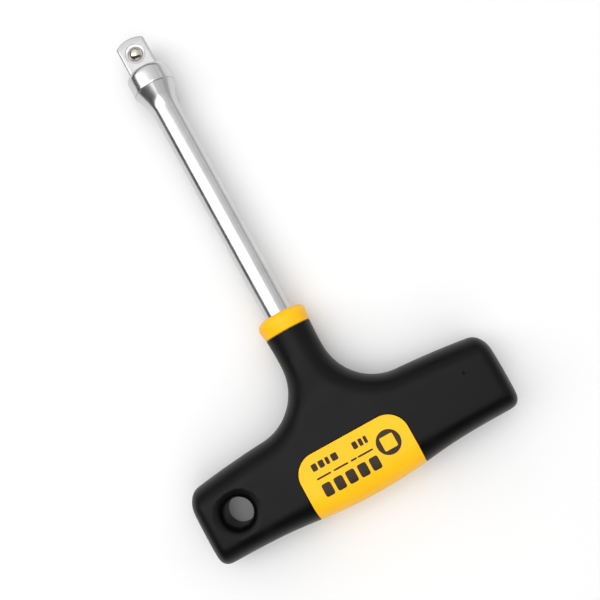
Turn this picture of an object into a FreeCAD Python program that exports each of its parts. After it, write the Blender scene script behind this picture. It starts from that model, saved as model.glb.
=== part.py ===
import FreeCAD, Part
import math
import os
import re

import Sketcher

# A T-handle wrench with a 3/8 inch (nominal 10 mm) square drive. It lies flat: +Z is up, +Y runs
# along the blade towards the drive, and X runs along the crossbar of the handle. The origin is on
# the handle's flat underside, below the point where the blade's axis crosses the crossbar.
# Five pieces: blade, detent_ball, detent_spring, handle_core and handle_grip. Sizes are in mm.

SIZES = [
    ("drive_across", 9.5, "square drive, across its flats"),
    ("drive_chamfer", 0.75, "flat along each long edge of the square"),
    ("drive_length", 11.2, "square drive, from the head's face to the tip"),
    ("drive_crown", 1.25, "how far the tip domes over half the square's width"),
    ("tip_reach", 144.6, "crossbar's centre line to the tip"),
    ("head_dia", 13.8, "head behind the square"),
    ("head_length", 6.4, "head, from its face to the back edge"),
    ("head_step", 0.35, "shoulder behind the head, in radius"),
    ("head_round", 1.7, "rounded front edge of the head"),
    ("flare_length", 8.5, "hollow taper from the head to the shaft"),
    ("shaft_dia", 8.86, "round shaft"),
    ("tail_depth", 8.0, "how far the shaft runs past the crossbar's centre line"),
    ("wing_span", 13.0, "pressed wings that stop the shaft from turning in the handle"),
    ("wing_thick", 5.0, "thickness of the wings"),
    ("wing_corner", 1.25, "rounding of the wings' section"),
    ("wing_length", 9.0, "length of the wings along the shaft"),
    ("ball_dia", 5.0, "detent ball"),
    ("ball_proud", 1.25, "how far the ball stands out of the square"),
    ("ball_setback", 4.8, "head's face to the ball's centre"),
    ("ball_play", 0.05, "radial clearance round the ball"),
    ("stake_inner", 5.2, "inside diameter of the ring pressed round the ball"),
    ("stake_outer", 6.3, "outside diameter of that ring"),
    ("stake_depth", 0.18, "depth of that ring"),
    ("spring_dia", 3.5, "detent spring, outside diameter"),
    ("spring_wire", 0.45, "wire of the detent spring"),
    ("spring_length", 3.5, "detent spring under the resting ball"),
    ("spring_turns", 3.5, "turns of the detent spring"),
    ("spring_gap", 0.02, "axial clearance at each end of the spring"),
    ("bar_span", 102.2, "crossbar, end to end"),
    ("bar_thick", 19.0, "crossbar, face to face"),
    ("bar_crown", 15.35, "centre line to the back edge, in the middle"),
    ("bar_back", 12.8, "centre line to the back edge, along the arms"),
    ("bar_root", 14.5, "centre line to the front edge, beside the neck"),
    ("bar_front", 11.6, "centre line to the front edge, at the ends"),
    ("bar_swell", 22.5, "blade's axis to where the back edge's swell has mostly died away"),
    ("bar_belly", 0.35, "share of the back edge's swell that is left there"),
    ("bar_edge", 6.3, "rounding of the crossbar's long edges"),
    ("bar_end", 3.6, "rounding of the crossbar's ends"),
    ("bar_facing", 0.1, "stock left on the crossbar's two faces, then trimmed flat"),
    ("neck_dia", 14.24, "slimmest part of the neck"),
    ("neck_top", 40.15, "centre line to the neck's end at the collar"),
    ("neck_bend", 31.2, "centre line to where the neck starts to flare"),
    ("neck_sweep", 16.5, "radius of the flare from neck to crossbar"),
    ("neck_corner", 0.93, "rounding of the neck's section, as a share of its least radius"),
    ("neck_root", 1.0, "how much wider the neck is where it runs out inside the crossbar"),
    ("neck_step", 0.15, "how far the neck's faces lie below the crossbar's"),
    ("collar_dia", 15.8, "collar, at its widest"),
    ("collar_foot", 14.8, "collar, where it meets the neck"),
    ("collar_length", 5.8, "collar, along the blade"),
    ("collar_round", 1.2, "rounded front edge of the collar"),
    ("collar_swell", 3.5, "collar's foot to its widest part"),
    ("skin", 2.4, "thickness of the soft grip over the core"),
    ("neck_skin", 1.4, "thickness of the soft grip over the core, in the neck"),
    ("label_left", 18.0, "blade's axis to the window's edge, on the side of the hanging hole"),
    ("label_right", 17.4, "blade's axis to the window's edge, on the other side"),
    ("label_front", 4.6, "centre line to the window's edge, on the blade's side"),
    ("label_corner", 6.5, "corner radius of the window"),
    ("hang_offset", 38.2, "blade's axis to the hanging hole"),
    ("hang_dia", 8.8, "hanging hole"),
    ("hang_lip", 1.8, "rounding of the hole's rims"),
    ("hang_wall", 2.0, "soft lining of the hanging hole"),
]

NECK_STATIONS = 6    # sections along the neck's flare
END_STEPS = 3        # facets of the crossbar's rounded ends
NECK_TURN = 72       # degrees that the flare turns before it meets the crossbar
OVERCUT = 1          # how far a cutting tool runs past the face that it cuts

# Heights and places that follow from the sheet, written once as formulas.
AXIS = "bar_thick / 2"
HEAD_FACE = "tip_reach - drive_length"
HEAD_BACK = f"{HEAD_FACE} - head_length"
BALL_Y = f"{HEAD_FACE} + ball_setback"
BALL_Z = f"{AXIS} + drive_across / 2 + ball_proud - ball_dia / 2"

doc = FreeCAD.newDocument("t_handle_wrench")
sheet = doc.addObject("Spreadsheet::Sheet", "sizes")
for row, (alias, size, note) in enumerate(SIZES, start=1):
    sheet.set(f"A{row}", f"'{alias}")
    sheet.set(f"B{row}", str(size))
    sheet.set(f"C{row}", f"'{note}")
    sheet.setAlias(f"B{row}", alias)
doc.recompute()


def worth(formula):
    """The number that a formula on the sheet's sizes gives."""
    answer = sheet.evalExpression(str(formula))
    return float(getattr(answer, "Value", answer))


def linked(formula):
    """The same formula, as another object has to write it."""
    aliases = "|".join(entry[0] for entry in SIZES)
    return re.sub(rf"\b({aliases})\b", r"sizes.\1", str(formula))


def bind(thing, **formulas):
    """Ties properties to formulas; a double underscore stands for a full stop."""
    for path, formula in formulas.items():
        thing.setExpression(path.replace("__", "."), linked(formula))


def new_body(name):
    body = doc.addObject("PartDesign::Body", name)
    body.Label = name
    return body


def origin_feature(body, role):
    return next(item for item in body.Origin.OriginFeatures if item.Role == role)


def new_sketch(body, name, role, offset="0"):
    """A sketch on one of the body's own origin planes, moved along the plane's normal."""
    sketch = body.newObject("Sketcher::SketchObject", name)
    sketch.AttachmentSupport = [(origin_feature(body, role), "")]
    sketch.MapMode = "FlatFace"
    bind(sketch, AttachmentOffset__Base__z=offset)
    return sketch


def add_edge(sketch, start, finish, radius, side):
    """A line, or an arc with its centre on the left (side 1) or the right (side -1)."""
    if radius is None:
        return sketch.addGeometry(Part.LineSegment(start, finish), False), 1, 2
    half = (finish - start) * 0.5
    reach = math.sqrt(max(radius**2 - half.Length**2, 0.0))
    left = FreeCAD.Vector(-half.y, half.x, 0).normalize()
    centre = start + half + left * (reach * side)
    circle = Part.Circle(centre, FreeCAD.Vector(0, 0, 1), radius)
    first, last = (start, finish) if side > 0 else (finish, start)
    turns = [math.atan2(spot.y - centre.y, spot.x - centre.x) for spot in (first, last)]
    index = sketch.addGeometry(Part.ArcOfCircle(circle, *turns), False)
    return (index, 1, 2) if side > 0 else (index, 2, 1)


def draw(sketch, corners):
    """A closed outline. A corner is (x, y), or (x, y, radius, side) where an arc starts there."""
    spots = [FreeCAD.Vector(worth(corner[0]), worth(corner[1]), 0) for corner in corners]
    edges = []
    for place, corner in enumerate(corners):
        radius, side = (worth(corner[2]), corner[3]) if len(corner) > 2 else (None, 0)
        finish = spots[(place + 1) % len(spots)]
        edges.append(add_edge(sketch, spots[place], finish, radius, side))
    for place, (index, start, finish) in enumerate(edges):
        following, following_start, _ = edges[(place + 1) % len(edges)]
        sketch.addConstraint(Sketcher.Constraint("Coincident", index, finish, following, following_start))
        for way, axis, formula in (("X", -2, corners[place][0]), ("Y", -1, corners[place][1])):
            if formula == "0":
                sketch.addConstraint(Sketcher.Constraint("PointOnObject", index, start, axis))
                continue
            rule = Sketcher.Constraint(f"Distance{way}", -1, 1, index, start, worth(formula))
            name_and_bind(sketch, sketch.addConstraint(rule), f"{way.lower()}_{place}", formula)
        if len(corners[place]) > 2:
            rule = Sketcher.Constraint("Radius", index, worth(corners[place][2]))
            name_and_bind(sketch, sketch.addConstraint(rule), f"radius_{place}", corners[place][2])


def name_and_bind(sketch, number, name, formula):
    sketch.renameConstraint(number, name)
    sketch.setExpression(f"Constraints.{name}", linked(formula))


def rounded_box(left, right, bottom, top, radius):
    """Corners of an upright rectangle with rounded corners, run counter-clockwise."""
    return [
        (f"{left} + {radius}", bottom),
        (f"{right} - {radius}", bottom, radius, 1),
        (right, f"{bottom} + {radius}"),
        (right, f"{top} - {radius}", radius, 1),
        (f"{right} - {radius}", top),
        (f"{left} + {radius}", top, radius, 1),
        (left, f"{top} - {radius}"),
        (left, f"{bottom} + {radius}", radius, 1),
    ]


def turned(body, kind, name, sketch, axis="V_Axis"):
    """A full turn of a sketch round one of its own axes, added or cut."""
    feature = body.newObject(f"PartDesign::{kind}", name)
    feature.Profile = sketch
    feature.ReferenceAxis = (sketch, [axis])
    feature.Angle = 360
    return feature


def loft(body, name, sketches):
    """Straight rulings from each section to the next."""
    feature = body.newObject("PartDesign::AdditiveLoft", name)
    feature.Profile = sketches[0]
    feature.Sections = sketches[1:]
    feature.Ruled = True
    return feature


def boolean(kind, name, base, tool):
    """Part::Cut or Part::Common of two objects."""
    feature = doc.addObject(f"Part::{kind}", name)
    feature.Base = base
    feature.Tool = tool
    return feature


def fuse(name, shapes):
    feature = doc.addObject("Part::MultiFuse", name)
    feature.Shapes = shapes
    return feature


def make_forging():
    """The blade before its detent is drilled: winged tail, shaft, flare, head and square.

    The body lies along its own Y axis and is lifted to the middle of the handle's thickness."""
    body = new_body("blade_forging")
    bind(body, Placement__Base__z=AXIS)
    rise = "((head_dia - shaft_dia) / 2 - head_step)"
    turning = new_sketch(body, "blade_profile", "XY_Plane")
    draw(turning, [
        ("0", "-tail_depth"),
        ("shaft_dia / 2", "-tail_depth"),
        ("shaft_dia / 2", f"{HEAD_BACK} - flare_length",
         f"(pow({rise}; 2) + pow(flare_length; 2)) / (2 * {rise})", -1),
        ("head_dia / 2 - head_step", HEAD_BACK),
        ("head_dia / 2", HEAD_BACK),
        ("head_dia / 2", f"{HEAD_FACE} - head_round", "head_round", 1),
        ("head_dia / 2 - head_round", HEAD_FACE),
        ("0", HEAD_FACE),
    ])
    turned(body, "Revolution", "blade_turning", turning)
    wings = new_sketch(body, "wing_section", "XZ_Plane", "-wing_length / 2")
    draw(wings, rounded_box("-wing_span / 2", "wing_span / 2", "-wing_thick / 2", "wing_thick / 2",
                            "wing_corner"))
    wing = body.newObject("PartDesign::Pad", "wings")
    wing.Profile = wings
    bind(wing, Length="wing_length")
    half = "drive_across / 2"
    inner = f"({half} - drive_chamfer)"
    section = new_sketch(body, "drive_section", "XZ_Plane", f"-({HEAD_FACE} - head_round)")
    draw(section, [
        (f"-{inner}", f"-{half}"), (inner, f"-{half}"), (half, f"-{inner}"), (half, inner),
        (inner, half), (f"-{inner}", half), (f"-{half}", inner), (f"-{half}", f"-{inner}"),
    ])
    drive = body.newObject("PartDesign::Pad", "square_drive")
    drive.Profile = section
    drive.Reversed = True
    bind(drive, Length="head_round + drive_length")
    dome = f"((pow({half}; 2) + pow(drive_crown; 2)) / (2 * drive_crown))"
    reach = f"(drive_across / 2 + {OVERCUT} + drive_crown)"
    crown = new_sketch(body, "crown_profile", "XY_Plane")
    draw(crown, [
        ("0", "tip_reach", dome, -1),
        (reach, f"tip_reach - {dome} + sqrt(pow({dome}; 2) - pow({reach}; 2))"),
        (reach, f"tip_reach + {OVERCUT}"),
        ("0", f"tip_reach + {OVERCUT}"),
    ])
    turned(body, "Groove", "crown", crown)
    return body


def make_blade():
    """The forging with its blind detent hole, whose mouth is staked over the ball."""
    bore = doc.addObject("Part::Cylinder", "detent_bore")
    bind(bore, Radius="ball_dia / 2 + ball_play", Height="ball_dia / 2 + spring_length",
         Placement__Base__y=BALL_Y, Placement__Base__z=f"{BALL_Z} - ball_dia / 2 - spring_length")
    seat = doc.addObject("Part::Sphere", "detent_seat")
    bind(seat, Radius="ball_dia / 2 + ball_play", Placement__Base__y=BALL_Y, Placement__Base__z=BALL_Z)
    ring = doc.addObject("Part::Torus", "staked_ring")
    width = "(stake_outer - stake_inner) / 4"
    bind(ring, Radius1="(stake_outer + stake_inner) / 4", Radius2=width, Placement__Base__y=BALL_Y,
         Placement__Base__z=f"{AXIS} + drive_across / 2 + {width} - stake_depth")
    tools = fuse("detent_cuts", [bore, seat, ring])
    return boolean("Cut", "blade", make_forging(), tools)


def make_ball():
    ball = doc.addObject("Part::Sphere", "detent_ball")
    bind(ball, Radius="ball_dia / 2", Placement__Base__y=BALL_Y, Placement__Base__z=BALL_Z)
    return ball


def make_spring():
    """A coil standing on the bore's floor, with its axis through the ball."""
    body = new_body("detent_spring")
    bind(body, Placement__Base__y=BALL_Y,
         Placement__Base__z=f"{BALL_Z} - ball_dia / 2 - spring_length + spring_wire / 2 + spring_gap")
    section = new_sketch(body, "wire_section", "XZ_Plane")
    centre = "(spring_dia - spring_wire) / 2"
    place, normal = FreeCAD.Vector(worth(centre), 0, 0), FreeCAD.Vector(0, 0, 1)
    circle = Part.Circle(place, normal, worth("spring_wire / 2"))
    index = section.addGeometry(circle, False)
    section.addConstraint(Sketcher.Constraint("PointOnObject", index, 3, -1))
    offset = Sketcher.Constraint("DistanceX", -1, 1, index, 3, worth(centre))
    name_and_bind(section, section.addConstraint(offset), "coil_radius", centre)
    size = Sketcher.Constraint("Radius", index, worth("spring_wire / 2"))
    name_and_bind(section, section.addConstraint(size), "wire_radius", "spring_wire / 2")
    coil = body.newObject("PartDesign::AdditiveHelix", "coil")
    coil.Profile = section
    coil.ReferenceAxis = (section, ["V_Axis"])
    coil.Mode = "pitch-height-angle"
    height = "(spring_length - spring_wire - 2 * spring_gap)"
    bind(coil, Height=height, Pitch=f"{height} / spring_turns")
    return body


def bar_stations(inset):
    """Sections of one arm, from the middle outwards: x, back edge, front edge and extra inset."""
    swell = "(bar_back + bar_belly * (bar_crown - bar_back))"
    yield "0", "bar_crown", "bar_root", inset
    yield "bar_swell", swell, "bar_root", inset
    for step in range(END_STEPS + 1):
        turn = 90 * step / END_STEPS
        along = f"(bar_span / 2 - {inset} - bar_end * (1 - sin({turn})))"
        yield along, "bar_back", "bar_front", f"({inset} + bar_end * (1 - cos({turn})))"


def make_bar(name, inset, proud="0"):
    """The crossbar with rounded edges and ends, drawn in by inset, its two faces left proud."""
    body = new_body(name)
    arm = list(bar_stations(inset))
    sections = [(f"-{along}", *rest) for along, *rest in reversed(arm[1:])] + arm
    sketches = []
    for number, (along, back, front, drawn) in enumerate(sections):
        sketch = new_sketch(body, f"{name}_section_{number}", "YZ_Plane", along)
        corner = f"(bar_edge - {drawn})"
        draw(sketch, rounded_box(f"({drawn} - {back})", f"({front} - {drawn})", f"({drawn} - {proud})",
                                 f"(bar_thick - {drawn} + {proud})", corner))
        sketches.append(sketch)
    loft(body, f"{name}_loft", sketches)
    return body


def make_neck():
    """The neck: nearly round at the collar, flaring along an arc into the crossbar."""
    body = new_body("neck")
    thin = "(neck_dia / 2)"
    stations = [("neck_top", "(collar_foot / 2)", "(collar_foot / 2)")]
    for number in range(NECK_STATIONS + 1):
        turn = number * NECK_TURN / NECK_STATIONS
        along = f"(neck_bend - neck_sweep * sin({turn}))"
        wide = f"({thin} + neck_sweep * (1 - cos({turn})))"
        tall = f"({thin} + (bar_thick / 2 - neck_step - {thin}) * sin({turn}) / sin({NECK_TURN}))"
        stations.append((along, wide, tall))
    stations.append((f"({stations[-1][0]} - bar_edge)", f"({stations[-1][1]} + neck_root)", stations[-1][2]))
    sketches = []
    for number, (along, wide, tall) in enumerate(stations):
        sketch = new_sketch(body, f"neck_section_{number}", "XZ_Plane", f"-{along}")
        draw(sketch, rounded_box(f"-{wide}", wide, f"(bar_thick / 2 - {tall})", f"(bar_thick / 2 + {tall})",
                                 f"({thin} * neck_corner)"))
        sketches.append(sketch)
    loft(body, "neck_loft", sketches)
    return body


def make_slab():
    """The space between the handle's two flat faces."""
    slab = doc.addObject("Part::Box", "slab")
    bind(slab, Length="2 * bar_span", Width="2 * (neck_top + bar_crown)", Height="bar_thick",
         Placement__Base__x="-bar_span", Placement__Base__y="-(neck_top + bar_crown)")
    return slab


def make_neck_core():
    tube = doc.addObject("Part::Cylinder", "neck_core")
    tube.Placement.Rotation = FreeCAD.Rotation(FreeCAD.Vector(1, 0, 0), -90)
    bind(tube, Radius="neck_dia / 2 - neck_skin", Height="neck_top", Placement__Base__z=AXIS)
    return tube


def make_window():
    """The prism that marks out the raised yellow saddle, open over the crossbar's back edge."""
    body = new_body("window")
    plan = new_sketch(body, "window_plan", "XY_Plane", f"-{OVERCUT}")
    rear = f"-bar_crown - {OVERCUT}"
    draw(plan, [
        ("-label_left", rear),
        ("label_right", rear),
        ("label_right", "label_front - label_corner", "label_corner", 1),
        ("label_right - label_corner", "label_front"),
        ("-label_left + label_corner", "label_front", "label_corner", 1),
        ("-label_left", "label_front - label_corner"),
    ])
    prism = body.newObject("PartDesign::Pad", "window_prism")
    prism.Profile = plan
    bind(prism, Length=f"bar_thick + {2 * OVERCUT}")
    return body


def make_collar():
    body = new_body("collar")
    bind(body, Placement__Base__z=AXIS)
    front = "neck_top + collar_length"
    profile = new_sketch(body, "collar_profile", "XY_Plane")
    draw(profile, [
        ("0", "neck_top"),
        ("collar_foot / 2", "neck_top"),
        ("collar_dia / 2", "neck_top + collar_swell"),
        ("collar_dia / 2", f"{front} - collar_round", "collar_round", 1),
        ("collar_dia / 2 - collar_round", front),
        ("0", front),
    ])
    turned(body, "Revolution", "collar_turning", profile)
    return body


def make_hang_cutter():
    """What is taken out for the hanging hole: a straight throat with a rounded rim at each face."""
    body = new_body("hang_cutter")
    bind(body, Placement__Base__x="-hang_offset")
    throat = "hang_dia / 2"
    mouth = f"{throat} + hang_lip"
    profile = new_sketch(body, "hang_profile", "XZ_Plane")
    draw(profile, [
        ("0", f"-{OVERCUT}"),
        (mouth, f"-{OVERCUT}"),
        (mouth, "0", "hang_lip", -1),
        (throat, "hang_lip"),
        (throat, "bar_thick - hang_lip", "hang_lip", -1),
        (mouth, "bar_thick"),
        (mouth, f"bar_thick + {OVERCUT}"),
        ("0", f"bar_thick + {OVERCUT}"),
    ])
    turned(body, "Revolution", "hang_turning", profile)
    return body


def make_handle(blade):
    """Hard core with collar and saddle, moulded round the blade; soft grip moulded round the core."""
    rough = fuse("handle_rough", [make_bar("bar", "0", "bar_facing"), make_neck()])
    outside = boolean("Common", "handle_outside", rough, make_slab())
    lining = doc.addObject("Part::Cylinder", "hang_lining")
    bind(lining, Radius="hang_dia / 2 + hang_wall", Height="bar_thick", Placement__Base__x="-hang_offset")
    bar_core = boolean("Cut", "bar_core_holed", make_bar("bar_core", "skin"), lining)
    inside = fuse("handle_inside", [bar_core, make_neck_core()])
    window = make_window()
    saddle = boolean("Common", "saddle", outside, window)
    core = boolean("Cut", "handle_core", fuse("core_solid", [inside, saddle, make_collar()]), blade)
    taken = fuse("grip_hollow", [inside, window, make_hang_cutter()])
    grip = boolean("Cut", "handle_grip", outside, taken)
    return core, grip


def check_document():
    for item in doc.Objects:
        faults = [state for state in item.State if state in ("Invalid", "Error")]
        if faults:
            raise RuntimeError(f"{item.Label} is {faults[0]}")


def write(piece):
    shape = piece.Shape
    if shape.isNull() or not shape.isValid() or len(shape.Solids) != 1:
        raise RuntimeError(f"{piece.Label} isn't one sound solid")
    shape.exportStep(f"parts/{piece.Label}.step")
    box = shape.BoundBox
    print(f"{piece.Label}: {shape.Volume:.1f} mm3, {box.XLength:.2f} x {box.YLength:.2f} x {box.ZLength:.2f}")


os.makedirs("parts", exist_ok=True)
blade = make_blade()
pieces = [blade, make_ball(), make_spring(), *make_handle(blade)]
doc.recompute()
check_document()
for piece in pieces:
    write(piece)
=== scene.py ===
import bmesh
import bpy
import numpy as np
from mathutils import Matrix, Vector


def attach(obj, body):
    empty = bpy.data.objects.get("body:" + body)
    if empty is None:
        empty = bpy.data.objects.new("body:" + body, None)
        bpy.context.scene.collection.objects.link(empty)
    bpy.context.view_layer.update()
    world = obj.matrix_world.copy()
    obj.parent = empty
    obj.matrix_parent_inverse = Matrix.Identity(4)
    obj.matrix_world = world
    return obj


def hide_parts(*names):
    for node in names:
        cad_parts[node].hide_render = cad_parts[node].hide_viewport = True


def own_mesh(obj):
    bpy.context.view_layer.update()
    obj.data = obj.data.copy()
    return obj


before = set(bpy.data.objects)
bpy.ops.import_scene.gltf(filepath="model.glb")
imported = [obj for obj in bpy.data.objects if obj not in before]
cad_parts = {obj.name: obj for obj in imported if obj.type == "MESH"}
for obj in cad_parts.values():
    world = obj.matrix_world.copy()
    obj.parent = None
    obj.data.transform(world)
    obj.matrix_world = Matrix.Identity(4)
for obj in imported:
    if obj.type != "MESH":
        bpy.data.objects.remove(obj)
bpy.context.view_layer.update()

MM = 0.001
AXIS = 9.5

# ---------------------------------------------------------------- blade
# One bar of chrome vanadium steel: a square tang, a round head and a shaft, forged and turned,
# then blasted and plated, so it shines softly without a mirror's reflections.


def fine_grain_group():
    """Two noises in object space, the second finer, added with a weight: a surface's small relief.
    Height goes to a bump, Tone is the slow part alone, for changes of gloss or colour."""
    group = bpy.data.node_groups.new("fine_grain", "ShaderNodeTree")
    for name in ("Size X", "Size Y", "Size Z", "Fine"):
        group.interface.new_socket(name, in_out="INPUT", socket_type="NodeSocketFloat")
    for name in ("Height", "Tone"):
        group.interface.new_socket(name, in_out="OUTPUT", socket_type="NodeSocketFloat")
    nodes, links = group.nodes, group.links
    given = nodes.new("NodeGroupInput")
    result = nodes.new("NodeGroupOutput")
    place = nodes.new("ShaderNodeTexCoord")
    scale = nodes.new("ShaderNodeCombineXYZ")
    for axis in "XYZ":
        links.new(given.outputs[f"Size {axis}"], scale.inputs[axis])
    stretch = nodes.new("ShaderNodeVectorMath")
    stretch.operation = "MULTIPLY"
    links.new(place.outputs["Object"], stretch.inputs[0])
    links.new(scale.outputs["Vector"], stretch.inputs[1])
    grain = nodes.new("ShaderNodeTexNoise")
    grain.inputs["Scale"].default_value = 1
    grain.inputs["Detail"].default_value = 4
    grain.inputs["Roughness"].default_value = 0.6
    links.new(stretch.outputs["Vector"], grain.inputs["Vector"])
    fine = nodes.new("ShaderNodeTexNoise")
    fine.inputs["Scale"].default_value = 4.3
    fine.inputs["Detail"].default_value = 2
    links.new(stretch.outputs["Vector"], fine.inputs["Vector"])
    weighed = nodes.new("ShaderNodeMath")
    weighed.operation = "MULTIPLY_ADD"
    links.new(fine.outputs["Fac"], weighed.inputs[0])
    links.new(given.outputs["Fine"], weighed.inputs[1])
    links.new(grain.outputs["Fac"], weighed.inputs[2])
    cloud = nodes.new("ShaderNodeTexNoise")
    cloud.inputs["Scale"].default_value = 140
    cloud.inputs["Detail"].default_value = 3
    links.new(place.outputs["Object"], cloud.inputs["Vector"])
    links.new(weighed.outputs[0], result.inputs["Height"])
    links.new(cloud.outputs["Fac"], result.inputs["Tone"])
    return group


fine_grain = fine_grain_group()


def new_material(name, sizes, fine, bump_height):
    """A Principled material with the fine grain bumped into its surface; returns it, its nodes and
    links, its shader and its grain node. sizes are how many grains there are to a metre."""
    material = bpy.data.materials.new(name)
    material.use_nodes = True
    nodes, links = material.node_tree.nodes, material.node_tree.links
    shader = nodes["Principled BSDF"]
    grain = nodes.new("ShaderNodeGroup")
    grain.node_tree = fine_grain
    for axis, size in zip("XYZ", sizes):
        grain.inputs[f"Size {axis}"].default_value = size
    grain.inputs["Fine"].default_value = fine
    bump = nodes.new("ShaderNodeBump")
    bump.inputs["Strength"].default_value = 1
    bump.inputs["Distance"].default_value = bump_height
    links.new(grain.outputs["Height"], bump.inputs["Height"])
    links.new(bump.outputs["Normal"], shader.inputs["Normal"])
    return material, nodes, links, shader, grain


def between(nodes, links, source, low, high, socket):
    """Feeds socket with a number that goes from low to high as source goes from 0.3 to 0.7."""
    ramp = nodes.new("ShaderNodeMapRange")
    ramp.inputs["From Min"].default_value = 0.3
    ramp.inputs["From Max"].default_value = 0.7
    ramp.inputs["To Min"].default_value = low
    ramp.inputs["To Max"].default_value = high
    links.new(source, ramp.inputs["Value"])
    links.new(ramp.outputs["Result"], socket)
    return ramp


def tinted(nodes, links, source, first, second, socket):
    """Feeds socket with a colour between first and second, as source goes from 0.3 to 0.7."""
    mix = nodes.new("ShaderNodeMix")
    mix.data_type = "RGBA"
    mix.inputs["A"].default_value = (*first, 1)
    mix.inputs["B"].default_value = (*second, 1)
    between(nodes, links, source, 0, 1, mix.inputs["Factor"])
    links.new(mix.outputs["Result"], socket)
    return mix


def dress(node, material):
    """Gives a CAD node its finish."""
    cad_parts[node].data.materials.clear()
    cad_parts[node].data.materials.append(material)


chrome, nodes, links, shader, grain = new_material("satin_chrome", (5200, 1500, 5200), 0.5, 0.0000012)
shader.inputs["Metallic"].default_value = 1
tinted(nodes, links, grain.outputs["Tone"], (0.57, 0.57, 0.575), (0.63, 0.63, 0.63),
       shader.inputs["Base Color"])
between(nodes, links, grain.outputs["Tone"], 0.20, 0.25, shader.inputs["Roughness"])


def closed_mesh(name, grids, ring=False, capped=False):
    """Joins grids of points, in millimetres, into one closed mesh. ring closes each grid's second
    direction; capped closes its two ends. Equal points are merged and faces turned outwards."""
    points, faces, caps, first = [], [], [], 0
    for grid in grids:
        rows, columns = grid.shape[:2]
        number = first + np.arange(rows * columns).reshape(rows, columns)
        if ring:
            number = np.concatenate([number, number[:, :1]], axis=1)
        quads = np.stack([number[:-1, :-1], number[1:, :-1], number[1:, 1:], number[:-1, 1:]], axis=-1)
        faces.append(quads.reshape(-1, 4))
        if capped:
            caps += [number[0, :columns].tolist(), number[-1, :columns].tolist()]
        points.append(grid.reshape(-1, 3) * MM)
        first += rows * columns
    mesh = bpy.data.meshes.new(name)
    mesh.from_pydata(np.concatenate(points).tolist(), [], np.concatenate(faces).tolist() + caps)
    work = bmesh.new()
    work.from_mesh(mesh)
    bmesh.ops.remove_doubles(work, verts=work.verts, dist=0.000002)
    bmesh.ops.dissolve_degenerate(work, edges=work.edges, dist=0.0000005)
    bare = [edge for edge in work.edges if not edge.link_faces]
    bmesh.ops.delete(work, geom=bare, context="EDGES")
    bmesh.ops.recalc_face_normals(work, faces=work.faces)
    work.to_mesh(mesh)
    work.free()
    piece = bpy.data.objects.new(name, mesh)
    bpy.context.collection.objects.link(piece)
    return piece


def smooth(piece, crease=35):
    """Smooth shading, with edges sharper than the crease angle kept sharp."""
    piece.data.shade_smooth()
    piece.data.set_sharp_from_angle(angle=np.radians(crease))
    return piece


def carve(piece, cutter, how):
    """Cuts piece by cutter, or keeps what they share, and makes the result its mesh."""
    change = piece.modifiers.new("carve", "BOOLEAN")
    change.operation = how
    change.solver = "EXACT"
    change.object = cutter
    bpy.context.view_layer.update()
    seen = piece.evaluated_get(bpy.context.evaluated_depsgraph_get())
    made = bpy.data.meshes.new_from_object(seen)
    piece.modifiers.clear()
    piece.data = made
    bpy.data.objects.remove(cutter)
    return piece


shaft_radius = 4.43
tail_end, flare_start, flare_bend = -8.0, 119.3, 123.0
flare_curve, head_step = 0.0595, 0.35
head_back, head_face, head_radius = 127.0, 133.4, 6.9
face_radius, face_start = 5.2, 131.5
tang_half, tang_corner, tang_tip, crown_radius, tang_break = 4.75, 0.85, 144.6, 9.65, 0.32
bore_y, bore_radius, bore_floor = 138.2, 2.55, 6.95


def turned(name, profile, centre=None, sides=128):
    """Carries a profile of (radius, height) pairs round the blade's axis, or round an upright axis
    through centre. A profile that starts and ends on the axis makes a closed solid."""
    turn = np.linspace(0, 2 * np.pi, sides, endpoint=False)[None, :]
    radius, height = profile[:, 0][:, None], profile[:, 1][:, None]
    level = height + 0 * turn
    if centre is None:
        points = (radius * np.cos(turn), level, AXIS + radius * np.sin(turn))
    else:
        points = (centre[0] + radius * np.cos(turn), centre[1] + radius * np.sin(turn), level)
    return closed_mesh(name, [np.stack(points, axis=-1)], ring=True)


def blade_profile():
    """Radius against height from the tail to the head's face: a straight shaft, a hollow parabola
    that runs out along its own tangent, a small shoulder, the head and its rounded front."""
    hollow = np.linspace(flare_start, flare_bend, 14)
    bend = flare_curve * (hollow - flare_start) ** 2
    slope = 2 * flare_curve * (flare_bend - flare_start)
    cone = np.linspace(flare_bend, head_back - head_step, 8)[1:]
    round_over = np.linspace(0, np.pi / 2, 12)
    across = face_radius + (head_radius - face_radius) * np.cos(round_over)
    along = face_start + (head_face - face_start) * np.sin(round_over)
    parts = [
        [(0, tail_end), (shaft_radius - 0.6, tail_end), (shaft_radius, tail_end + 0.6)],
        [(shaft_radius, y) for y in np.linspace(0, flare_start - 1, 24)],
        np.stack([shaft_radius + bend, hollow], axis=-1),
        np.stack([shaft_radius + bend[-1] + slope * (cone - flare_bend), cone], axis=-1),
        [(head_radius - 0.16, head_back - 0.06), (head_radius - 0.05, head_back - 0.04)],
        [(head_radius, head_back + 0.06)],
        [(head_radius, y) for y in (127.6, 129.0, 130.6)],
        np.stack([across, along], axis=-1),
        [(0, head_face)],
    ]
    return np.concatenate([np.array(part, float) for part in parts])


def rounded_square(half, corner, points=9, flat=10):
    """A square outline of flat sides joined by quarter circles, as x and z offsets."""
    angle = np.linspace(0, np.pi / 2, points)
    inner = half - corner
    quarter = np.stack([inner + corner * np.cos(angle), inner + corner * np.sin(angle)], axis=-1)
    side = np.stack([np.linspace(inner, -inner, flat + 2)[1:-1], np.full(flat, half)], axis=-1)
    quarter = np.concatenate([quarter, side])
    return np.concatenate([quarter @ np.array([(np.cos(k), np.sin(k)), (-np.sin(k), np.cos(k))])
                           for k in np.arange(4) * np.pi / 2])


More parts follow.
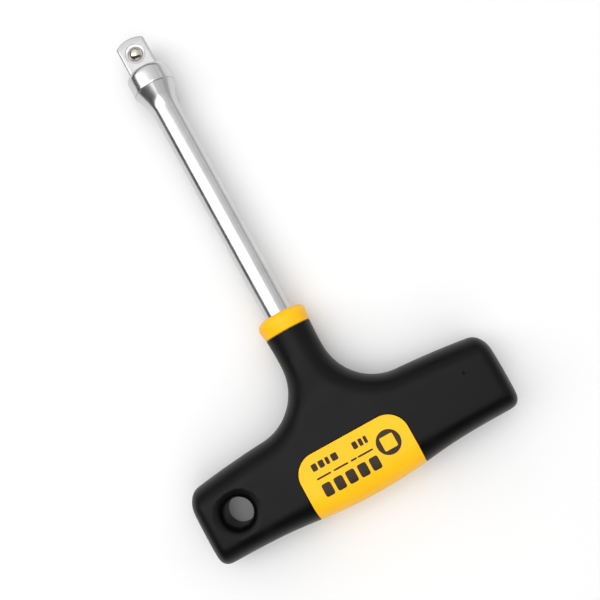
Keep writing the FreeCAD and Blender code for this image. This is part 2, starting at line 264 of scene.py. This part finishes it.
def square_tang():
    """Rings of the rounded square from inside the head to the tip. The end is part of a ball, its
    edge is rounded, and the last rings shrink to a point on it."""
    outline = rounded_square(tang_half, tang_corner)

    def ring(scale, level=None, back=0.0):
        flat = outline * scale
        dome = tang_tip - crown_radius + np.sqrt(crown_radius ** 2 - (flat ** 2).sum(axis=1))
        y = dome - back if level is None else np.full(len(flat), level)
        return np.stack([flat[:, 0], y, AXIS + flat[:, 1]], axis=-1)

    turn = np.linspace(0, np.pi / 2, 6)
    rings = [ring(0, 131.0), ring(1, 131.0)] + [ring(1, y) for y in (133.0, 136.0, 139.0, 141.0)]
    for t in turn:
        rings.append(ring(1 - tang_break / tang_half * (1 - np.cos(t)), None, tang_break * (1 - np.sin(t))))
    rings += [ring(scale) for scale in (0.85, 0.7, 0.5, 0.3, 0.12, 0)]
    return closed_mesh("square_tang", [np.stack(rings)], ring=True)


bore_profile = np.array([
    (0, bore_floor), (bore_radius, bore_floor), (bore_radius, 13.25), (2.45, 13.7), (2.37, 13.95),
    (2.42, 14.02), (2.62, 14.05), (2.85, 14.06), (3.02, 14.1), (3.12, 14.17), (3.2, 14.27), (3.3, 14.7),
    (0, 14.7)])
blade = carve(turned("blade_steel", blade_profile()), square_tang(), "UNION")
blade = carve(blade, turned("ball_bore", bore_profile, (0, bore_y), 72), "DIFFERENCE")
smooth(blade, 28)
blade.data.materials.clear()
blade.data.materials.append(chrome)
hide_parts("blade")
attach(blade, "wrench")

# ---------------------------------------------------------------- detent spring
# Under the ball a short coil of hard drawn wire, its ends closed and ground, pushes the ball up
# against the staked lip of its bore.

spring_wire = 0.45
spring_mean = 3.05
spring_floor = 7.0
spring_top = 10.5
spring_turns = 4.5
spring_end_turn = 1.0


def tube_along(path, radius, sides):
    """Grid of points round a path: at each point of the path, a circle in the plane across it,
    whose first direction is taken from the coil's axis."""
    ahead = np.gradient(path, axis=0)
    ahead /= np.linalg.norm(ahead, axis=1)[:, None]
    side = np.cross(ahead, (0, 0, 1.0))
    side /= np.linalg.norm(side, axis=1)[:, None]
    up = np.cross(side, ahead)
    turn = np.linspace(0, 2 * np.pi, sides, endpoint=False)[None, :, None]
    return path[:, None] + radius * (np.cos(turn) * side[:, None] + np.sin(turn) * up[:, None])


along = np.linspace(0, 1, 420)
turns = along * spring_turns
lift = np.clip((turns - spring_end_turn) / (spring_turns - 2 * spring_end_turn), 0, 1)
lift = lift * lift * (3 - 2 * lift)
rise = spring_top - spring_floor - spring_wire
height = spring_floor + spring_wire / 2 + lift * rise
coil = np.stack([spring_mean / 2 * np.cos(2 * np.pi * turns),
                 bore_y + spring_mean / 2 * np.sin(2 * np.pi * turns), height], axis=-1)
spring = closed_mesh("detent_coil", [tube_along(coil, spring_wire / 2, 14)], ring=True, capped=True)
smooth(spring)
wire_steel, nodes, links, shader, grain = new_material("spring_wire", (9000, 9000, 9000), 0.3, 0.000001)
shader.inputs["Metallic"].default_value = 1
tinted(nodes, links, grain.outputs["Tone"], (0.42, 0.41, 0.39), (0.55, 0.54, 0.52),
       shader.inputs["Base Color"])
between(nodes, links, grain.outputs["Tone"], 0.25, 0.4, shader.inputs["Roughness"])
spring.data.materials.append(wire_steel)
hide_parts("detent_spring")
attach(spring, "wrench")
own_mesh(spring)

# ---------------------------------------------------------------- detent ball
# A hardened and polished bearing ball, held in the tang by the staked lip round its bore.

polished, nodes, links, shader, grain = new_material("polished_ball", (2500, 2500, 2500), 0.2, 0.0000002)
shader.inputs["Metallic"].default_value = 1
tinted(nodes, links, grain.outputs["Tone"], (0.62, 0.59, 0.53), (0.68, 0.65, 0.58),
       shader.inputs["Base Color"])
between(nodes, links, grain.outputs["Tone"], 0.05, 0.10, shader.inputs["Roughness"])
dress("detent_ball", polished)

# ---------------------------------------------------------------- handle shape
# The handle is moulded in two shots, a hard yellow core and a black cover over it. Both share one
# outer skin, a flat bar with rolled edges that flares into a round neck.

half_span = 50.9
bar_half = 9.5
neck_end = 39.95
neck_radius, neck_growth, neck_start, neck_run = 7.12, 0.3, 33.0, 7.15
face_crown, face_reach = 0.14, 11.0
rear_depth, belly_depth, rear_roll, belly_roll = 12.8, 2.54, 6.0, 3.4
belly_reach, belly_power = 22.6, 2.6
edge_start, edge_depth, edge_fall, edge_curve = 22.4, 14.3, 0.062, 0.0016
neck_join = 31.2
end_power, rear_power = 2.6, 3.5
hollow_radius, hollow_x, hollow_y = 17.0, 24.12, 31.1
front_roll = 7.4
end_roll = 5.0
band_rows = 16
flat_rows = 18
end_columns = 14
bar_columns = 26
flare_columns = 26
neck_columns = 14


def ease(value):
    """0 below 0, 1 above 1, and a smooth step between."""
    value = np.clip(value, 0, 1)
    return value * value * (3 - 2 * value)


def back_edge(x):
    """The rear edge: nearly straight, with a broad belly behind the saddle."""
    return -(rear_depth + belly_depth * np.exp(-(np.abs(x) / belly_reach) ** belly_power))


def back_roll(x):
    """Width of the rolled rear edge, which grows with the belly."""
    return rear_roll + belly_roll * np.exp(-(np.abs(x) / belly_reach) ** belly_power)


def front_edge(x):
    """The front edge of the bar, which falls towards the end along a flat parabola."""
    run = x - edge_start
    return edge_depth - edge_fall * run - edge_curve * run * run


def neck_half(y):
    """The neck's half width, which widens a little, by a square law, towards the collar."""
    return neck_radius + neck_growth * np.clip((y - neck_start) / neck_run, 0, 1) ** 2


def front_outline():
    """The outline from the bar's end to the collar: the front edge, a hollow of 17 mm radius and the neck's
    side, sampled evenly and then softened where they meet. Returns the length run along it so far, and its
    x and y."""
    edge_x = np.linspace(half_span, 23.1, 240)
    edge = np.stack([edge_x, front_edge(edge_x)], axis=-1)
    angle = np.linspace(0.06, np.pi / 2, 200)
    bend = np.stack([hollow_x - hollow_radius * np.sin(angle), hollow_y - hollow_radius * np.cos(angle)],
                    axis=-1)
    side_y = np.linspace(neck_join, neck_end, 80)
    side_x = neck_half(side_y)
    side = np.stack([side_x, side_y], axis=-1)
    line = np.concatenate([edge, bend, side])
    length = np.concatenate([[0], np.cumsum(np.linalg.norm(np.diff(line, axis=0), axis=1))])
    even = np.linspace(0, length[-1], 900)
    line = np.stack([np.interp(even, length, line[:, k]) for k in (0, 1)], axis=-1)
    reach = 24
    weights = np.exp(-0.5 * (np.arange(-3 * reach, 3 * reach + 1) / reach) ** 2)
    weights /= weights.sum()
    padded = np.pad(line, ((3 * reach, 3 * reach), (0, 0)), mode="reflect", reflect_type="odd")
    line = np.stack([np.convolve(padded[:, k], weights, mode="valid") for k in (0, 1)], axis=-1)
    return even, line


outline_run, outline = front_outline()


def handle_half(lift_sign):
    """One quarter of the skin, x from 0 to the end, as grids of points. Rows run in from the outline
    by (1 - cos) of an even angle, so that the rolled edge gets even facets, and the height is
    H (1 - E^p)^(1/p), where E is 1 at the outline and 0 on the flat."""
    heading = np.gradient(outline, axis=0)
    lean = np.arctan2(np.abs(heading[:, 1]), np.abs(heading[:, 0]))
    start = lean[60]
    lean = np.clip((lean - start) / (lean[-60] - start), 0, 1) * np.pi / 2
    lean[np.argmax(outline[:, 1] > 31.0):] = np.pi / 2
    end_x = half_span - end_roll * (1 - np.cos(np.linspace(0, np.pi / 2, end_columns)))
    bar_x = np.linspace(half_span - end_roll, 24.0, bar_columns)[1:]
    run_bar = np.interp(-np.concatenate([end_x, bar_x]), -outline[:, 0], outline_run)
    run_neck = np.interp(neck_join, outline[:, 1], outline_run)
    run_flare = np.linspace(run_bar[-1], run_neck, flare_columns)[1:]
    run_side = np.linspace(run_neck, outline_run[-1], neck_columns)[1:]
    run = np.concatenate([run_bar, run_flare, run_side])
    rim = np.stack([np.interp(run, outline_run, outline[:, k]) for k in (0, 1)], axis=-1)
    tilt = np.interp(run, outline_run, lean)
    inward = np.stack([-np.sin(tilt), -np.cos(tilt)], axis=-1)
    last = len(run_bar) + len(run_flare)
    seam_gap = 0.15 * np.clip(last - 1 - np.arange(len(run)), 0, None)
    room = (rim[:, 0] - seam_gap) / np.maximum(np.sin(tilt), 0.2)
    roll = np.where(tilt > 0.2, np.minimum(front_roll, room), front_roll)
    depth = np.cos(np.linspace(0, np.pi / 2, band_rows))
    a = np.clip(1 - (half_span - rim[:, 0]) / end_roll, 0, 1)[None, :]
    b = depth[:, None] + 0 * a
    power = end_power
    shrink = np.maximum(a, b) / np.maximum((a ** power + b ** power) ** (1 / power), 1e-9)
    band_x = rim[None, :, 0] + inward[None, :, 0] * roll[None, :] * (1 - b * shrink)
    band_x = band_x - end_roll * (a - a * shrink)
    band_y = rim[None, :, 1] + inward[None, :, 1] * roll[None, :] * (1 - b * shrink)
    band_e = np.maximum(a, b)
    inner_x, inner_y = band_x[-1], band_y[-1]
    foot = np.concatenate([inner_x[:len(run_bar)],
                           np.linspace(inner_x[len(run_bar) - 1], 0, len(run_flare) + 1)[1:]])
    inner_x = inner_x.copy()
    inner_x[last - 1:] = 0
    band_x[-1] = inner_x
    share = np.linspace(0, 1, flat_rows)[:, None]
    rear = back_edge(foot) + back_roll(foot)
    flat_x = inner_x[None, :last] * (1 - share) + foot[None] * share
    flat_y = inner_y[None, :last] * (1 - share) + rear[None] * share
    flat_e = a[:, :last] + 0 * share
    a = a[:, :last]
    b = depth[::-1, None] + 0 * a
    power = rear_power
    shrink = np.maximum(a, b) / np.maximum((a ** power + b ** power) ** (1 / power), 1e-9)
    rear_x = foot[None] - end_roll * (a - a * shrink)
    rear_y = back_edge(foot)[None] + back_roll(foot)[None] * (1 - b * shrink)
    rear_e = np.maximum(a, b)
    grids = []
    for x, y, e in ((band_x, band_y, band_e), (flat_x, flat_y, flat_e), (rear_x, rear_y, rear_e)):
        swell = ease((neck_start - y) / 17)
        full = neck_half(y) + (bar_half - neck_radius) * swell
        full = full - face_crown * np.clip((y + 1) / face_reach, -1.3, 1.3) ** 2 * swell
        power = 2 + 0.3 * swell
        rise = full * np.clip(1 - e ** power, 0, 1) ** (1 / power)
        bulge = 1 - 0.006 * ((y + 0.6) / 12) ** 2 * ease((x - 30) / 20)
        grids.append(np.stack([x * bulge, y, AXIS + lift_sign * rise], axis=-1))
    return grids


def handle_skin(name):
    """The closed outer skin: four quarters by mirroring, and a flat cap at the collar's end."""
    grids = []
    for sign in (1, -1):
        for mirror in (1, -1):
            grids += [grid * (mirror, 1, 1) for grid in handle_half(sign)]
    skin = closed_mesh(name, grids)
    work = bmesh.new()
    work.from_mesh(skin.data)
    rims = [edge for edge in work.edges if edge.is_boundary]
    bmesh.ops.holes_fill(work, edges=rims, sides=0)
    bmesh.ops.recalc_face_normals(work, faces=work.faces)
    work.to_mesh(skin.data)
    work.free()
    return skin


saddle_left, saddle_right, saddle_front, saddle_corner = 18.0, 17.4, 4.6, 6.6


def window_prism(grow):
    """The saddle's outline as an upright prism: straight sides and two round front corners."""
    left, right, front = -saddle_left - grow, saddle_right + grow, saddle_front + grow
    corner = saddle_corner + grow
    angle = np.linspace(0, np.pi / 2, 20)
    first = np.stack([right - corner * (1 - np.cos(angle)), front - corner * (1 - np.sin(angle))], axis=-1)
    second = np.stack([left + corner * (1 - np.sin(angle)), front - corner * (1 - np.cos(angle))], axis=-1)
    plan = np.concatenate([[[right, -20]], first, second, [[left, -20]]])
    levels = [np.concatenate([plan, np.full((len(plan), 1), z)], axis=1) for z in (-2.0, 21.0)]
    return closed_mesh("window_prism", [np.stack(levels)], ring=True, capped=True)


def softened(piece, width, angle=50):
    """A small round on the cut edges."""
    bevel = piece.modifiers.new("edge_round", "BEVEL")
    bevel.width = width * MM
    bevel.segments = 2
    bevel.limit_method = "ANGLE"
    bevel.angle_limit = np.radians(angle)
    return piece


# ---------------------------------------------------------------- yellow saddle
# Where the cover is left open the core comes up flush with it, on both faces and round the back.

saddle = carve(handle_skin("saddle"), window_prism(0), "INTERSECT")
softened(smooth(saddle), 0.18)
yellow, nodes, links, shader, grain = new_material("yellow_plastic", (1500, 1500, 1500), 0.15, 0.000004)
shader.inputs["Specular IOR Level"].default_value = 0.25
tinted(nodes, links, grain.outputs["Tone"], (1.0, 0.51, 0.002), (1.0, 0.54, 0.005),
       shader.inputs["Base Color"])
between(nodes, links, grain.outputs["Tone"], 0.34, 0.42, shader.inputs["Roughness"])
saddle.data.materials.clear()
saddle.data.materials.append(yellow)
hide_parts("handle_core")
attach(saddle, "wrench")

# ---------------------------------------------------------------- pad print
# One pass of dark brown ink on the saddle's upper face: a plain sign for a square drive and three
# rows of plain shapes, a few hundredths of a millimetre thick.

print_film = 0.03
print_sink = 0.03


def upper_face(x, y):
    """Height of the saddle's upper face: the crowned flat, and the rolled edge behind it."""
    rolled = np.clip(1 - (y - back_edge(x)) / back_roll(x), 0, 1)
    full = bar_half - face_crown * ((y + 1) / face_reach) ** 2
    return AXIS + full * (1 - rolled ** 2.3) ** (1 / 2.3)


def printed(shapes):
    """Flat rings of ink that follow the saddle. Each shape is an outer and an inner outline with the
    same number of points; the ink is the band between them, closed underneath."""
    grids = []
    share = np.linspace(0, 1, 6)[:, None, None]
    for outer, inner in shapes:
        plan = outer * (1 - share) + inner * share
        level = upper_face(plan[..., 0], plan[..., 1])[..., None]
        top = np.concatenate([plan, level + print_film], axis=-1)
        under = np.concatenate([plan, level - print_sink], axis=-1)[::-1]
        grids.append(np.concatenate([top, under, top[:1]]))
    return closed_mesh("pad_print", grids, ring=True)


def oval(x, y, wide, tall, power=2.0, points=64):
    """A superellipse outline: round for power 2, and close to a rectangle for a high power."""
    turn = np.linspace(0, 2 * np.pi, points, endpoint=False)
    cos, sin = np.cos(turn), np.sin(turn)
    reach = (np.abs(cos) ** power + np.abs(sin) ** power) ** (-1 / power)
    return np.stack([x + wide / 2 * reach * cos, y + tall / 2 * reach * sin], axis=-1)


def bar(x, y, wide, tall, power=8.0):
    """A solid bar: an outline whose inner edge has shrunk to its middle."""
    return oval(x, y, wide, tall, power), oval(x, y, 0, 0, power)


sign_x, sign_y = 10.28, -3.2
ink_shapes = [(oval(sign_x, sign_y, 7.5, 7.5), oval(sign_x, sign_y, 4.2, 4.2, 14.0))]
for x in (-11.6, -7.7, -3.8, 0.1, 4.0):
    ink_shapes.append(bar(x, -6.7, 2.9, 4.0, 6.0))
for x, wide in ((-10.9, 4.6), (-5.3, 4.8), (-1.0, 1.9), (2.8, 5.0)):
    ink_shapes.append(bar(x, -2.75, wide, 0.55))
for x, wide in ((-12.2, 1.7), (-9.9, 1.7), (-7.9, 1.1), (-5.6, 2.0), (1.2, 1.5), (3.1, 1.2), (4.7, 1.0)):
    ink_shapes.append(bar(x, 0.7, wide, 2.2, 6.0))
ink_print = smooth(printed(ink_shapes))
ink, nodes, links, shader, grain = new_material("dark_ink", (3000, 3000, 3000), 0.4, 0.000002)
shader.inputs["Specular IOR Level"].default_value = 0.25
tinted(nodes, links, grain.outputs["Tone"], (0.020, 0.011, 0.005), (0.038, 0.022, 0.010),
       shader.inputs["Base Color"])
between(nodes, links, grain.outputs["Tone"], 0.4, 0.5, shader.inputs["Roughness"])
ink_print.data.materials.append(ink)
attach(ink_print, "wrench")

# ---------------------------------------------------------------- collar
# The core's front end shows as a round yellow ring about the shaft, moulded with the core and a
# little wider than the neck behind it.

collar_profile = np.array([
    (4.45, 38.0), (6.9, 38.0), (6.9, 39.9), (6.98, 40.05), (7.2, 40.12), (7.36, 40.22), (7.44, 40.4),
    (7.54, 41.1), (7.68, 41.9), (7.8, 42.7), (7.88, 43.3), (7.9, 43.8), (7.86, 44.2), (7.72, 44.6),
    (7.5, 44.95), (7.2, 45.25), (6.8, 45.5), (6.2, 45.72), (5.5, 45.86), (4.9, 45.92), (4.62, 45.86),
    (4.5, 45.7), (4.45, 45.4), (4.45, 38.0)])
collar = smooth(turned("collar", collar_profile), 40)
collar.data.materials.append(yellow)
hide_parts("handle_core")
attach(collar, "wrench")

# ---------------------------------------------------------------- black grip
# The second shot: a soft touch cover with a fine matt texture, open over the saddle and pierced at
# the left by a hanging hole with rounded lips.

hang_x, hang_y, hang_radius, lip_sink = -38.2, -0.2, 4.3, 0.1
gate_x, gate_y = 39.1, 3.6
shut_line = 0.24


def hang_cutter():
    """A spool: a straight throat that opens at each face by a steep round lip and a shallow dish."""
    lip = np.array([(0, 5.2), (0.04, 4.3), (0.14, 3.4), (0.32, 2.5), (0.58, 1.7), (0.92, 1.05), (1.28, 0.6),
                    (1.55, 0.38), (1.85, 0.25), (2.2, 0.13), (2.5, 0.05), (2.75, 0.0), (3.0, -0.12)])
    radius = hang_radius + np.concatenate([lip[::-1, 0], lip[:, 0]])
    height = np.concatenate([AXIS - lip[::-1, 1], lip[:, 1] - AXIS])
    height = height - lip_sink * np.sign(height)
    radius = np.concatenate([[radius[0]], radius, [radius[-1]]])
    height = np.concatenate([[AXIS + 1], height, [-AXIS - 1]])
    turn = np.linspace(0, 2 * np.pi, 72, endpoint=False)[None, :]
    grid = np.stack([hang_x + radius[:, None] * np.cos(turn), hang_y + radius[:, None] * np.sin(turn),
                     AXIS + height[:, None] + 0 * turn], axis=-1)
    return closed_mesh("hang_cutter", [grid], ring=True, capped=True)


grip = carve(handle_skin("grip"), window_prism(shut_line), "DIFFERENCE")
grip = carve(grip, hang_cutter(), "DIFFERENCE")
gate_profile = np.array([(0, 18.72), (0.18, 18.73), (0.34, 18.78), (0.46, 18.87), (0.55, 19.1), (0, 19.1)])
grip = carve(grip, turned("gate_mark", gate_profile, (gate_x, gate_y), 24), "DIFFERENCE")
softened(smooth(grip), 0.18)
black, nodes, links, shader, grain = new_material("black_plastic", (2600, 2600, 2600), 0.5, 0.000012)
shader.inputs["Specular IOR Level"].default_value = 0.16
tinted(nodes, links, grain.outputs["Tone"], (0.0010, 0.0010, 0.0012), (0.0024, 0.0024, 0.0027),
       shader.inputs["Base Color"])
between(nodes, links, grain.outputs["Tone"], 0.36, 0.44, shader.inputs["Roughness"])
grip.data.materials.clear()
grip.data.materials.append(black)
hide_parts("handle_grip")
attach(grip, "wrench")

# ---------------------------------------------------------------- floor, light and camera
# The tool lies on a pale sheet under a wide soft light that leans to the left.

bpy.ops.mesh.primitive_plane_add(size=6, location=(0, 0, -0.0002))
floor = bpy.context.object
floor.name = "floor"
paper = bpy.data.materials.new("pale_floor")
paper.use_nodes = True
paper.node_tree.nodes["Principled BSDF"].inputs["Base Color"].default_value = (0.87, 0.87, 0.87, 1)
paper.node_tree.nodes["Principled BSDF"].inputs["Roughness"].default_value = 0.9
floor.data.materials.append(paper)

world = bpy.data.worlds.new("studio")
bpy.context.scene.world = world
world.use_nodes = True
world.node_tree.nodes["Background"].inputs["Color"].default_value = (1, 1, 1, 1)
world.node_tree.nodes["Background"].inputs["Strength"].default_value = 0.09


rig_turn = np.radians(-19.5)
rig_height = 0.85


def soft_light(name, place, aim, width, depth, radiance):
    """A rectangular area light that faces aim and looks as bright as a surface of this radiance."""
    lamp = bpy.data.lights.new(name, "AREA")
    lamp.shape = "RECTANGLE"
    lamp.size, lamp.size_y = width, depth
    lamp.energy = radiance * np.pi * width * depth
    holder = bpy.data.objects.new(name, lamp)
    holder.location = place
    holder.rotation_mode = "QUATERNION"
    holder.rotation_quaternion = (Vector(aim) - Vector(place)).to_track_quat("-Z", "Y")
    bpy.context.collection.objects.link(holder)
    return holder


def ceiling_panel(name, left, right, near, far, radiance):
    """A level panel of the overhead light, given by its edges in the turned frame of the rig."""
    middle = Matrix.Rotation(rig_turn, 3, "Z") @ Vector(((left + right) / 2, (near + far) / 2, rig_height))
    panel = soft_light(name, middle, middle - Vector((0, 0, 1)), right - left, far - near, radiance)
    panel.rotation_mode = "XYZ"
    panel.rotation_euler = (0, 0, rig_turn)
    return panel


ceiling_panel("panel_main", -1.60, 0.17, -0.30, 0.38, 2.45)
ceiling_panel("panel_front", -1.60, 0.17, 0.38, 2.40, 0.95)
ceiling_panel("panel_middle", 0.17, 0.60, -0.27, 2.40, 0.85)
ceiling_panel("panel_side", 0.60, 1.80, -0.27, 2.40, 0.70)
soft_light("right_fill", (1.85, 0.1, 0.42), (0, 0.1, 0.1), 2.4, 0.8, 0.5)
soft_light("back_fill", (-0.3, -2.0, 0.5), (0, 0.1, 0.1), 2.6, 0.9, 0.35)
key = soft_light("soft_key", (-0.05, -0.75, 0.95), (0, 0.05, 0), 1.2, 0.9, 1.45)
key.visible_glossy = False

eye = Vector((7.74, 17.74, 292.3)) * MM
aim = Vector((7.75, 46.5, 9.5)) * MM
roll = np.radians(28.86)
ahead = (aim - eye).normalized()
across = ahead.cross(Vector((np.sin(roll), np.cos(roll), 0))).normalized()
upward = across.cross(ahead)
camera = bpy.data.objects.new("camera", bpy.data.cameras.new("camera"))
camera.data.lens = 55.8
camera.data.sensor_width = 36
camera.data.clip_start = 0.01
camera.matrix_world = Matrix.Translation(eye) @ Matrix((across, upward, -ahead)).transposed().to_4x4()
bpy.context.collection.objects.link(camera)
bpy.context.scene.camera = camera
bpy.context.scene.view_settings.view_transform = "Standard"
